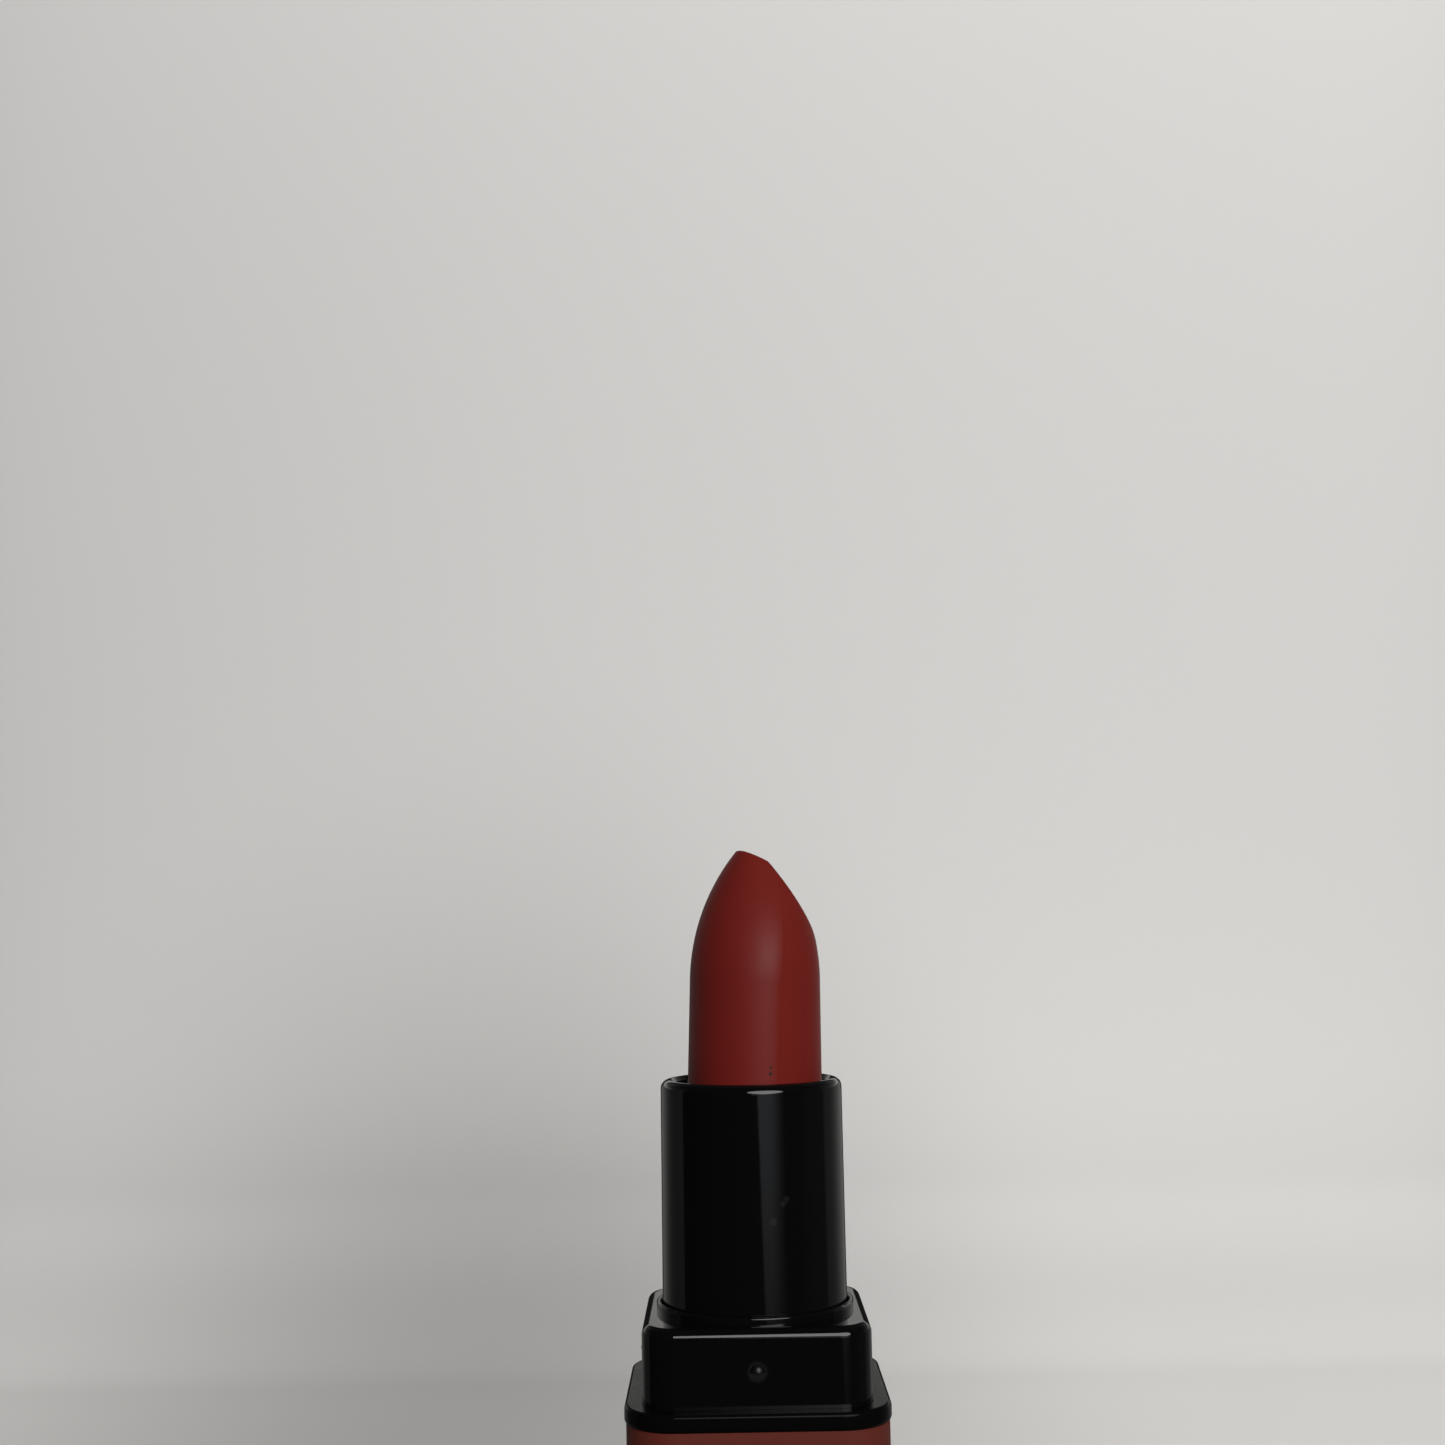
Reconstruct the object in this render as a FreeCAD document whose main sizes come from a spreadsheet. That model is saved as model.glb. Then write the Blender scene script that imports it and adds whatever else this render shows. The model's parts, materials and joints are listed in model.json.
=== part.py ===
import FreeCAD, Part

"""Square lipstick case with its bullet raised: a twist-up mechanism in a collar and a weighted base.

The frame is millimetres with +Z up. The origin is the centre of the face that the base stands on.
The case is sized from the bullet outward: each wall and clearance is a cell of the Dimensions sheet.
"""

import math
import os

import Sketcher

SHEET = "Dimensions"

DIMENSIONS = [
    # The stack of tubes, from the bullet outward
    ("bullet_diameter", 12.1, "bullet where the cup grips it"),
    ("push_clearance", 0.02, "radial gap of a push fit"),
    ("run_clearance", 0.05, "radial gap between tubes that turn or slide"),
    ("cup_wall", 0.35, "wall of the bullet cup"),
    ("guide_wall", 0.45, "wall of the slotted guide tube"),
    ("cam_wall", 0.6, "wall of the spiral cam"),
    ("sleeve_wall", 0.65, "wall of the sleeve at the collar"),
    ("sleeve_clearance", 0.12, "radial gap between sleeve and collar"),
    # The outer case
    ("collar_rim_width", 0.42, "radial width of the bead round the sleeve"),
    ("collar_rim_height", 0.7, "height of that bead"),
    ("block_shoulder", 1.07, "flat of the block outside the bead, at mid side"),
    ("block_height", 6.58, "block above the flange"),
    ("block_corner", 2.8, "plan radius of the block"),
    ("block_edge", 0.85, "round on the block's top edge"),
    ("flange_ledge", 1.55, "step from the block out to the flange"),
    ("flange_thickness", 1.5, "flange between block and base"),
    ("flange_edge", 0.35, "round on the flange's edges"),
    ("flange_overhang", 0.15, "flange proud of the base"),
    ("seat_depth", 0.3, "how far the block sinks into the flange"),
    ("base_height", 36.0, "base below the flange"),
    ("base_corner", 4.25, "plan radius of the base"),
    ("base_wall", 1.2, "side wall of the base"),
    ("base_floor", 1.4, "floor of the base"),
    ("base_edge", 0.8, "round on the base's bottom edge"),
    ("stand_margin", 2.0, "base's side to the square ridge that it stands on"),
    ("stand_height", 0.25, "height of that ridge"),
    ("recess_margin", 3.2, "base's side to the recess inside the ridge"),
    ("recess_depth", 0.5, "depth of that recess"),
    ("collar_wall", 1.0, "walls of the collar moulding"),
    ("collar_barrel", 0.58, "wall of the collar's barrel round the sleeve"),
    ("catch_width", 8.0, "snap catches of the liner and the collar"),
    ("catch_height", 0.8, "height of a catch"),
    ("catch_proud", 0.25, "how far a catch stands out"),
    ("liner_catch_drop", 6.0, "base's top down to the liner's catches"),
    ("collar_catch_drop", 3.5, "base's top down to the collar's catches"),
    ("snap_radius", 0.75, "sphere of the nub that holds the cap"),
    ("snap_proud", 0.38, "how far the nub stands out"),
    ("snap_rise", 3.05, "flange up to the nub"),
    # The mechanism
    ("sleeve_exposed", 20.07, "sleeve above the block"),
    ("sleeve_taper", 0.065, "how much smaller the radius is at the mouth"),
    ("sleeve_lip", 0.8, "thickness of the lip at the mouth"),
    ("sleeve_lip_width", 1.05, "lip from the outer edge to the opening"),
    ("sleeve_edge", 0.8, "outer round at the mouth"),
    ("lip_gap", 0.1, "sleeve lip above the guide tube's bead"),
    ("bead_height", 0.5, "bead that holds the cam on the guide tube"),
    ("bead_proud", 0.25, "how far that bead stands out"),
    ("bead_gap", 0.1, "end play of the cam under the bead"),
    ("cup_recess", 1.5, "cup below the mouth when raised"),
    ("cup_height", 11.0, "height of the bullet cup"),
    ("cup_floor", 0.8, "floor of the bullet cup"),
    ("vent_diameter", 2.4, "hole in the cup's floor"),
    ("grip_height", 0.2, "ribs in the cup that bite the bullet"),
    ("grip_width", 0.6, "width of those ribs"),
    ("grip_length", 7.0, "length of those ribs"),
    ("lug_diameter", 1.7, "lugs that follow the spiral"),
    ("lug_rise", 1.3, "cup's bottom up to the lugs"),
    ("lug_clearance", 0.07, "side play of a lug in its slot and groove"),
    ("groove_depth", 0.42, "depth of the spiral groove"),
    ("travel", 22.0, "lift of the cup"),
    ("spiral_pitch", 12.0, "lift for one turn"),
    ("groove_overrun", 14.0, "degrees of groove past each end of the travel"),
    ("stop_gap", 0.3, "cup above the guide tube's floor when lowered"),
    ("guide_floor", 0.8, "floor of the guide tube"),
    ("brake_zone", 1.9, "guide tube between thrust flange and floor"),
    ("brake_height", 1.0, "height of the brake ring"),
    ("brake_depth", 0.4, "seat of the brake ring in the guide tube"),
    ("brake_clearance", 0.02, "brake ring to the cam, unloaded"),
    ("thrust_thickness", 1.0, "flange that the sleeve turns on"),
    ("thrust_clearance", 0.1, "end play of the sleeve on that flange"),
    ("foot_length", 8.0, "splined foot below the thrust flange"),
    ("foot_wall", 1.2, "wall of the hollow foot"),
    ("spline_height", 0.3, "splines on the foot"),
    ("spline_width", 0.7, "width of a spline"),
    # Inside the base
    ("fit_clearance", 0.05, "gap of a fixed piece to the one round it"),
    ("liner_wall", 1.0, "walls and webs of the liner"),
    ("liner_deck", 1.5, "deck of the liner that the mechanism stands on"),
    ("weight_height", 6.0, "steel weight"),
    ("weight_clearance", 0.25, "weight to the base's wall"),
    ("weight_chamfer", 0.5, "edge of the weight"),
    # The bullet
    ("bullet_stand", 8.97, "side of the bullet above the mouth, up to its nose"),
    ("nose_taper", 0.18, "how much smaller the radius is where the nose starts"),
    ("nose_length", 13.2, "nose from its start to the point it would have uncut"),
    ("slant_angle", 36.2, "slanted face to the axis, in degrees"),
    ("slant_rise", 2.05, "nose start up to the slanted face's low edge"),
    ("slant_heading", 35.0, "way the slanted face looks, in degrees from +X"),
    ("slant_edge", 0.5, "softness of the slanted face's edge"),
]

SNAP_COUNT = 4
CATCH_COUNT = 4
GRIP_COUNT = 6
LUG_COUNT = 2
SPLINE_COUNT = 16
WEB_COUNT = 4


class Size:
    """A length with its value now and the sheet expression that gives it."""

    def __init__(self, value, text):
        self.value = value
        self.text = text

    def __add__(self, other):
        other = as_size(other)
        return Size(self.value + other.value, f"({self.text} + {other.text})")

    def __sub__(self, other):
        other = as_size(other)
        return Size(self.value - other.value, f"({self.text} - {other.text})")

    def __mul__(self, other):
        other = as_size(other)
        return Size(self.value * other.value, f"({self.text} * {other.text})")

    def __truediv__(self, other):
        other = as_size(other)
        return Size(self.value / other.value, f"({self.text} / {other.text})")

    def __neg__(self):
        return Size(-self.value, f"(0 - {self.text})")

    __radd__ = __add__
    __rmul__ = __mul__


def as_size(number):
    """A plain number as a Size."""
    return number if isinstance(number, Size) else Size(float(number), str(number))


def root(size):
    """Square root of a Size."""
    return Size(math.sqrt(size.value), f"sqrt({size.text})")


def cosine(degrees):
    """Cosine of a Size in degrees."""
    return Size(math.cos(math.radians(degrees.value)), f"cos({degrees.text} * 1deg)")


def tangent(degrees):
    """Tangent of a Size in degrees."""
    return Size(math.tan(math.radians(degrees.value)), f"tan({degrees.text} * 1deg)")


class Sizes:
    """The driving dimensions as attributes, and what follows from them."""

    def __init__(self):
        for alias, value, _ in DIMENSIONS:
            setattr(self, alias, Size(value, f"{SHEET}.{alias}"))
        self.radii()
        self.widths()
        self.levels()

    def radii(self):
        """The stack of tubes, from the bullet outward."""
        self.bullet_r = self.bullet_diameter / 2
        self.cup_bore_r = self.bullet_r + self.push_clearance
        self.cup_r = self.cup_bore_r + self.cup_wall
        self.guide_bore_r = self.cup_r + self.run_clearance
        self.guide_r = self.guide_bore_r + self.guide_wall
        self.cam_bore_r = self.guide_r + self.run_clearance
        self.cam_r = self.cam_bore_r + self.cam_wall
        self.groove_r = self.cam_bore_r + self.groove_depth
        self.lug_reach = self.groove_r - self.lug_clearance
        self.sleeve_bore_r = self.cam_r + self.push_clearance
        self.sleeve_r = self.sleeve_bore_r + self.sleeve_wall
        self.mouth_r = self.sleeve_r - self.sleeve_taper
        self.lip_r = self.mouth_r - self.sleeve_lip_width
        self.collar_bore_r = self.sleeve_r + self.sleeve_clearance
        self.rim_r = self.collar_bore_r + self.collar_rim_width
        self.foot_r = self.guide_r - self.spline_height
        self.foot_bore_r = self.guide_r + self.push_clearance

    def widths(self):
        """The square sections, from the collar outward."""
        self.block_width = (self.rim_r + self.block_shoulder) * 2
        self.flange_width = self.block_width + self.flange_ledge * 2
        self.flange_corner = self.base_corner + self.flange_overhang
        self.base_width = self.flange_width - self.flange_overhang * 2
        self.hollow_width = self.base_width - self.base_wall * 2
        self.hollow_corner = self.base_corner - self.base_wall
        self.liner_width = self.hollow_width - self.fit_clearance * 2
        self.liner_corner = self.hollow_corner - self.fit_clearance
        self.socket_width = self.liner_width - self.liner_wall * 2
        self.socket_corner = self.liner_corner - self.liner_wall
        self.skirt_width = self.socket_width - self.fit_clearance * 2
        self.skirt_corner = self.socket_corner - self.fit_clearance

    def levels(self):
        """Heights above the face that the base stands on, with the bullet raised."""
        self.flange_top = self.base_height + self.flange_thickness
        self.block_top = self.flange_top + self.block_height
        self.mouth = self.block_top + self.sleeve_exposed
        self.guide_top = self.mouth - self.sleeve_lip - self.lip_gap
        self.cam_top = self.guide_top - self.bead_height - self.bead_gap
        self.cup_top = self.mouth - self.cup_recess
        self.cup_bottom = self.cup_top - self.cup_height
        self.lug_high = self.cup_bottom + self.lug_rise
        self.lug_low = self.lug_high - self.travel
        self.guide_floor_top = self.cup_bottom - self.travel - self.stop_gap
        self.thrust_top = self.guide_floor_top - self.brake_zone
        self.sleeve_bottom = self.thrust_top + self.thrust_clearance
        self.deck_top = self.thrust_top - self.thrust_thickness
        self.skirt_bottom = self.deck_top + self.stop_gap
        self.foot_bottom = self.deck_top - self.foot_length
        self.weight_top = self.base_floor + self.weight_height
        self.nose_start = self.mouth + self.bullet_stand


def make_sheet(doc):
    """The spreadsheet of driving dimensions, one row each."""
    sheet = doc.addObject("Spreadsheet::Sheet", SHEET)
    for row, (alias, value, meaning) in enumerate(DIMENSIONS, start=1):
        sheet.set(f"A{row}", meaning)
        sheet.set(f"B{row}", str(value))
        sheet.setAlias(f"B{row}", alias)
    doc.recompute()


# Sketches


def new_body(doc, label):
    body = doc.addObject("PartDesign::Body", label)
    body.Label = label
    return body


def new_sketch(body, name, plane, lift=0, turn=0):
    """A sketch on one of the body's origin planes, lifted along its normal and turned about +Z."""
    sketch = body.newObject("Sketcher::SketchObject", name)
    support = next(o for o in body.Origin.OriginFeatures if o.Role == plane)
    sketch.AttachmentSupport = [(support, "")]
    sketch.MapMode = "FlatFace"
    turn = as_size(turn)
    if turn.value:
        # The local Y of an upright plane is the case's +Z
        sketch.AttachmentOffset = FreeCAD.Placement(
            FreeCAD.Vector(), FreeCAD.Rotation(FreeCAD.Vector(0, 1, 0), turn.value)
        )
        sketch.setExpression("AttachmentOffset.Rotation.Angle", f"{turn.text} * 1deg")
    lift = as_size(lift)
    if lift.value:
        sketch.setExpression("AttachmentOffset.Base.z", lift.text)
    return sketch


def bind(sketch, constraint, size):
    """Adds a driving constraint and ties it to the sheet."""
    index = sketch.addConstraint(constraint)
    sketch.setExpression(f"Constraints[{index}]", size.text)


def place(sketch, edge, end, point):
    """Fixes an end of an edge at a point of the sketch plane."""
    for kind, size in zip(("DistanceX", "DistanceY"), point):
        size = as_size(size)
        if size.value == 0:
            axis = -2 if kind == "DistanceX" else -1
            sketch.addConstraint(Sketcher.Constraint("PointOnObject", edge, end, axis))
        else:
            bind(sketch, Sketcher.Constraint(kind, edge, end, size.value), size)


def vector(point):
    x, y = (as_size(size).value for size in point)
    return FreeCAD.Vector(x, y, 0)


def draw_outline(sketch, steps):
    """A closed outline. A step is a point reached by a line, or (point, middle, radius) reached by an arc.

    A half circle on a level chord has no radius: its centre's height stands in for that.
    """
    ends = [step[0] if len(step) == 3 else step for step in steps]
    edges = []
    for index, step in enumerate(steps):
        start, end = vector(ends[index - 1]), vector(ends[index])
        if len(step) == 3:
            edge = sketch.addGeometry(Part.Arc(start, vector(step[1]), end))
            if step[2] is None:
                height = as_size(step[0][1])
                bind(sketch, Sketcher.Constraint("DistanceY", edge, 3, height.value), height)
            else:
                bind(sketch, Sketcher.Constraint("Radius", edge, step[2].value), step[2])
        else:
            edge = sketch.addGeometry(Part.LineSegment(start, end))
        forward = sketch.getPoint(edge, 1).distanceToPoint(start) < 1e-6
        edges.append((edge, (1, 2) if forward else (2, 1)))
    for index, (edge, (_, last)) in enumerate(edges):
        following, (first, _) = edges[(index + 1) % len(edges)]
        sketch.addConstraint(Sketcher.Constraint("Coincident", edge, last, following, first))
        place(sketch, edge, last, ends[index])


def draw_circle(sketch, radius, height=0):
    """A circle with its centre on the sketch's vertical axis."""
    height = as_size(height)
    centre = FreeCAD.Vector(0, height.value, 0)
    edge = sketch.addGeometry(Part.Circle(centre, FreeCAD.Vector(0, 0, 1), radius.value))
    place(sketch, edge, 3, (0, height))
    bind(sketch, Sketcher.Constraint("Radius", edge, radius.value), radius)


def draw_rectangle(sketch, left, right, low, high):
    draw_outline(sketch, [(left, low), (right, low), (right, high), (left, high)])


def draw_rounded_square(sketch, width, corner):
    """A square with round corners, about the origin."""
    half = width / 2
    flat = half - corner
    bulge = flat + corner * math.sqrt(0.5)
    steps = []
    for sx, sy in ((1, 1), (-1, 1), (-1, -1), (1, -1)):
        on_side = (half * sx, flat * sy)
        on_end = (flat * sx, half * sy)
        before, after = (on_side, on_end) if sx == sy else (on_end, on_side)
        steps += [before, (after, (bulge * sx, bulge * sy), corner)]
    draw_outline(sketch, steps)


def draw_slot(sketch, radius, low, high):
    """An upright slot with round ends about the two heights given."""
    draw_outline(
        sketch,
        [
            (radius, high),
            ((-radius, high), (0, high + radius), None),
            (-radius, low),
            ((radius, low), (0, low - radius), None),
        ],
    )


# Features


def revolve(body, sketch, kind="Revolution"):
    """A full turn of the sketch about its vertical axis."""
    feature = body.newObject(f"PartDesign::{kind}", sketch.Name + kind)
    feature.Profile = sketch
    feature.ReferenceAxis = (sketch, ["V_Axis"])
    feature.Angle = 360
    return feature


def pad(body, sketch, length):
    feature = body.newObject("PartDesign::Pad", sketch.Name + "Pad")
    feature.Profile = sketch
    feature.setExpression("Length", as_size(length).text)
    return feature


def pocket(body, sketch, length, upward=False):
    """A cut from the sketch against its normal, or along it."""
    feature = body.newObject("PartDesign::Pocket", sketch.Name + "Pocket")
    feature.Profile = sketch
    feature.Reversed = upward
    feature.setExpression("Length", as_size(length).text)
    return feature


def pocket_both_ways(body, sketch):
    """A cut through all of the body, both ways from the sketch."""
    feature = body.newObject("PartDesign::Pocket", sketch.Name + "Pocket")
    feature.Profile = sketch
    feature.Type = "ThroughAll"
    feature.Midplane = True
    return feature


def repeat(body, feature, count):
    """Copies of a feature, evenly round the case's axis."""
    pattern = body.newObject("PartDesign::PolarPattern", feature.Name + "Pattern")
    pattern.Originals = [feature]
    axis = next(o for o in body.Origin.OriginFeatures if o.Role == "Z_Axis")
    pattern.Axis = (axis, [""])
    pattern.Angle = 360
    pattern.Occurrences = count
    body.Tip = pattern
    return pattern


def level_edges(feature, level, reach):
    """Names of the edges that lie flat at a level, all of them within a reach of the axis."""
    feature.Document.recompute()
    names = []
    for number, edge in enumerate(feature.Shape.Edges, start=1):
        box = edge.BoundBox
        flat = abs(box.ZMin - level.value) < 1e-4 and abs(box.ZMax - level.value) < 1e-4
        outermost = max(math.hypot(v.X, v.Y) for v in edge.Vertexes)
        if flat and reach[0].value < outermost < reach[1].value:
            names.append(f"Edge{number}")
    return names


def slanted_edges(feature, s):
    """Names of the edges round a bullet's slanted face, which is its only flat face that isn't level."""
    feature.Document.recompute()
    edges = feature.Shape.Edges
    names = []
    for face in feature.Shape.Faces:
        flat = face.Surface.TypeId == "Part::GeomPlane"
        if flat and abs(abs(face.normalAt(0, 0).z) - 1) > 1e-6:
            names += [f"Edge{n}" for n, e in enumerate(edges, 1) if any(e.isSame(f) for f in face.Edges)]
    return names


def fillet(body, feature, name, edges, radius):
    rounded = body.newObject("PartDesign::Fillet", name)
    rounded.Base = (feature, edges)
    rounded.setExpression("Radius", radius.text)
    return rounded


def add_catches(body, name, s, face, middle):
    """Snap catches on the four flat sides of a piece, with a ramp below."""
    profile = new_sketch(body, name, "XZ_Plane", lift=-s.catch_width / 2)
    half = s.catch_height / 2
    draw_outline(
        profile,
        [
            (face - s.catch_proud, middle - half),
            (face, middle - half),
            (face + s.catch_proud, middle + half / 2),
            (face + s.catch_proud, middle + half),
            (face - s.catch_proud, middle + half),
        ],
    )
    repeat(body, pad(body, profile, s.catch_width), CATCH_COUNT)


def cut_catches(body, name, s, face, middle):
    """The recesses that those catches snap into."""
    recess = new_sketch(body, name, "YZ_Plane", lift=face - s.catch_proud)
    high = s.catch_height / 2 + s.run_clearance
    side = s.catch_width / 2 + s.run_clearance
    draw_rectangle(recess, -side, side, middle - high, middle + high)
    repeat(body, pocket(body, recess, s.catch_proud * 2, upward=True), CATCH_COUNT)


# The outer case


def make_base_shell(doc, s):
    """Square cup that the hand holds, with a shallow recess and a standing ridge under it."""
    body = new_body(doc, "base_shell")
    outer = new_sketch(body, "BaseOuter", "XY_Plane", lift=s.stand_height)
    draw_rounded_square(outer, s.base_width, s.base_corner)
    block = pad(body, outer, s.base_height - s.stand_height)
    edges = level_edges(block, s.stand_height, (as_size(0), s.base_width))
    fillet(body, block, "BaseEdge", edges, s.base_edge)

    ridge = new_sketch(body, "BaseStand", "XY_Plane")
    half = s.base_width / 2 - s.stand_margin
    draw_rectangle(ridge, -half, half, -half, half)
    pad(body, ridge, s.stand_height)

    hollow = new_sketch(body, "BaseHollow", "XY_Plane", lift=s.base_floor)
    draw_rounded_square(hollow, s.hollow_width, s.hollow_corner)
    pocket(body, hollow, s.base_height - s.base_floor, upward=True)

    recess = new_sketch(body, "BaseRecess", "XY_Plane")
    recess_corner = s.base_corner / 2
    draw_rounded_square(recess, s.base_width - s.recess_margin * 2, recess_corner)
    pocket(body, recess, s.recess_depth, upward=True)

    cut_catches(body, "BaseCatch", s, s.hollow_width / 2, s.base_height - s.liner_catch_drop)
    return body


def make_base_liner(doc, s):
    """Black moulding pressed into the base: a flange, a deck for the mechanism and webs that hold the weight down."""
    body = new_body(doc, "base_liner")
    flange = new_sketch(body, "LinerFlange", "XY_Plane", lift=s.base_height)
    draw_rounded_square(flange, s.flange_width, s.flange_corner)
    plate = pad(body, flange, s.flange_thickness)
    whole = (as_size(0), s.flange_width)
    edges = level_edges(plate, s.flange_top, whole) + level_edges(plate, s.base_height, whole)
    fillet(body, plate, "FlangeEdge", edges, s.flange_edge)

    outer = new_sketch(body, "LinerOuter", "XY_Plane", lift=s.weight_top)
    draw_rounded_square(outer, s.liner_width, s.liner_corner)
    pad(body, outer, s.flange_top - s.weight_top - s.flange_thickness / 2)

    upper = new_sketch(body, "LinerUpper", "XY_Plane", lift=s.deck_top)
    draw_rounded_square(upper, s.socket_width, s.socket_corner)
    pocket(body, upper, s.flange_top - s.deck_top, upward=True)

    seat = new_sketch(body, "LinerSeat", "XY_Plane", lift=s.flange_top - s.seat_depth)
    clear = s.fit_clearance
    draw_rounded_square(seat, s.block_width + clear * 2, s.block_corner + clear)
    pocket(body, seat, s.seat_depth, upward=True)

    lower = new_sketch(body, "LinerLower", "XY_Plane", lift=s.weight_top)
    draw_rounded_square(lower, s.socket_width, s.socket_corner)
    pocket(body, lower, s.deck_top - s.liner_deck - s.weight_top, upward=True)

    web = new_sketch(body, "LinerWeb", "XY_Plane", lift=s.weight_top)
    half = s.liner_wall / 2
    draw_rectangle(web, 0, (s.liner_width - s.liner_wall) / 2, -half, half)
    repeat(body, pad(body, web, s.deck_top - s.weight_top - s.liner_deck / 2), WEB_COUNT)

    tube = new_sketch(body, "LinerTube", "XY_Plane", lift=s.weight_top)
    draw_circle(tube, s.foot_bore_r + s.liner_wall)
    pad(body, tube, s.deck_top - s.weight_top)

    socket_bottom = s.foot_bottom - s.stop_gap
    socket = new_sketch(body, "LinerSocket", "XY_Plane", lift=socket_bottom)
    draw_circle(socket, s.foot_bore_r)
    pocket(body, socket, s.deck_top - socket_bottom, upward=True)

    core = new_sketch(body, "LinerCore", "XY_Plane", lift=s.weight_top)
    draw_circle(core, s.foot_bore_r)
    pocket(body, core, socket_bottom - s.liner_deck - s.weight_top, upward=True)

    add_catches(body, "LinerCatch", s, s.liner_width / 2, s.base_height - s.liner_catch_drop)
    cut_catches(body, "LinerRecess", s, s.socket_width / 2, s.base_height - s.collar_catch_drop)
    return body


def make_collar(doc, s):
    """Black square block that the cap fits over, with a bead round the sleeve and a skirt inside the liner."""
    body = new_body(doc, "collar")
    block = new_sketch(body, "CollarBlock", "XY_Plane", lift=s.flange_top - s.seat_depth)
    draw_rounded_square(block, s.block_width, s.block_corner)
    raised = pad(body, block, s.block_height + s.seat_depth)
    edges = level_edges(raised, s.block_top, (as_size(0), s.flange_width))
    fillet(body, raised, "BlockEdge", edges, s.block_edge)

    skirt = new_sketch(body, "CollarSkirt", "XY_Plane", lift=s.skirt_bottom)
    draw_rounded_square(skirt, s.skirt_width, s.skirt_corner)
    pad(body, skirt, s.flange_top - s.skirt_bottom)

    core = new_sketch(body, "CollarCore", "XY_Plane", lift=s.skirt_bottom)
    core_corner = s.skirt_corner - s.collar_wall / 2
    draw_rounded_square(core, s.skirt_width - s.collar_wall * 2, core_corner)
    pocket(body, core, s.block_top - s.collar_wall - s.skirt_bottom, upward=True)

    barrel = new_sketch(body, "CollarBarrel", "XY_Plane", lift=s.skirt_bottom)
    draw_circle(barrel, s.collar_bore_r + s.collar_barrel)
    pad(body, barrel, s.block_top - s.skirt_bottom - s.collar_wall / 2)

    rim = new_sketch(body, "CollarRim", "XZ_Plane")
    bore, crown = s.collar_bore_r, s.collar_rim_width / 2
    round_start = s.block_top + s.collar_rim_height - crown
    draw_outline(
        rim,
        [
            (bore, s.block_top - s.collar_wall / 4),
            (s.rim_r, s.block_top - s.collar_wall / 4),
            (s.rim_r, round_start),
            ((bore, round_start), (bore + crown, round_start + crown), None),
        ],
    )
    revolve(body, rim)

    through = new_sketch(body, "CollarBore", "XY_Plane", lift=s.skirt_bottom)
    draw_circle(through, s.collar_bore_r)
    pocket(body, through, s.block_top + s.collar_rim_height - s.skirt_bottom, upward=True)

    add_catches(body, "CollarCatch", s, s.skirt_width / 2, s.base_height - s.collar_catch_drop)

    nub = new_sketch(body, "CollarSnap", "XZ_Plane")
    height = s.flange_top + s.snap_rise
    centre = s.block_width / 2 + s.snap_proud - s.snap_radius
    bulge = s.snap_radius * math.sqrt(0.5)
    draw_outline(
        nub,
        [
            (centre, height),
            (centre + s.snap_radius, height),
            ((centre, height + s.snap_radius), (centre + bulge, height + bulge), s.snap_radius),
        ],
    )
    dome = body.newObject("PartDesign::Revolution", "CollarSnapDome")
    dome.Profile = nub
    dome.ReferenceAxis = (nub, ["Edge1"])
    dome.Angle = 360
    repeat(body, dome, SNAP_COUNT)
    return body


# The mechanism


def make_sleeve(doc, s):
    """Black tube that the fingers turn: straight in the collar, tapered above, with a lip at its mouth."""
    body = new_body(doc, "sleeve")
    wall = new_sketch(body, "SleeveWall", "XZ_Plane")
    shoulder = s.block_top + s.collar_rim_height
    crown = s.mouth_r - s.sleeve_edge
    draw_outline(
        wall,
        [
            (s.sleeve_bore_r, s.sleeve_bottom),
            (s.sleeve_r, s.sleeve_bottom),
            (s.sleeve_r, shoulder),
            (s.mouth_r, s.mouth - s.sleeve_edge),
            (
                (crown, s.mouth),
                (crown + s.sleeve_edge * math.sqrt(0.5), s.mouth - s.sleeve_edge * (1 - math.sqrt(0.5))),
                s.sleeve_edge,
            ),
            (s.lip_r, s.mouth - s.sleeve_lip / 2),
            (s.lip_r, s.mouth - s.sleeve_lip),
            (s.sleeve_bore_r, s.mouth - s.sleeve_lip),
        ],
    )
    revolve(body, wall)
    return body


def make_spiral_cam(doc, s):
    """Tube fixed in the sleeve, with a left-hand groove for each lug on its bore."""
    body = new_body(doc, "spiral_cam")
    wall = new_sketch(body, "CamWall", "XZ_Plane")
    draw_rectangle(wall, s.cam_bore_r, s.cam_r, s.sleeve_bottom, s.cam_top)
    revolve(body, wall)

    overrun = s.spiral_pitch * s.groove_overrun / 360
    pitch_line = 2 * math.pi * s.cam_bore_r
    slope = root(pitch_line * pitch_line + s.spiral_pitch * s.spiral_pitch) / pitch_line
    half = (s.lug_diameter / 2 + s.lug_clearance) * slope
    start = s.lug_low - overrun
    # The groove's start is turned back so that a lug on +X meets it at its lowest
    lug_turns = s.travel / s.spiral_pitch
    section = new_sketch(body, "CamGroove", "XZ_Plane", turn=(lug_turns * 360 + s.groove_overrun))
    inside = s.cam_bore_r - s.run_clearance
    draw_rectangle(section, inside, s.groove_r, start - half, start + half)
    groove = body.newObject("PartDesign::SubtractiveHelix", "CamGrooveHelix")
    groove.Profile = section
    groove.ReferenceAxis = (section, ["V_Axis"])
    groove.Mode = "pitch-height-angle"
    groove.LeftHanded = True
    groove.setExpression("Pitch", s.spiral_pitch.text)
    groove.setExpression("Height", (s.travel + overrun * 2).text)
    repeat(body, groove, LUG_COUNT)
    return body


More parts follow.
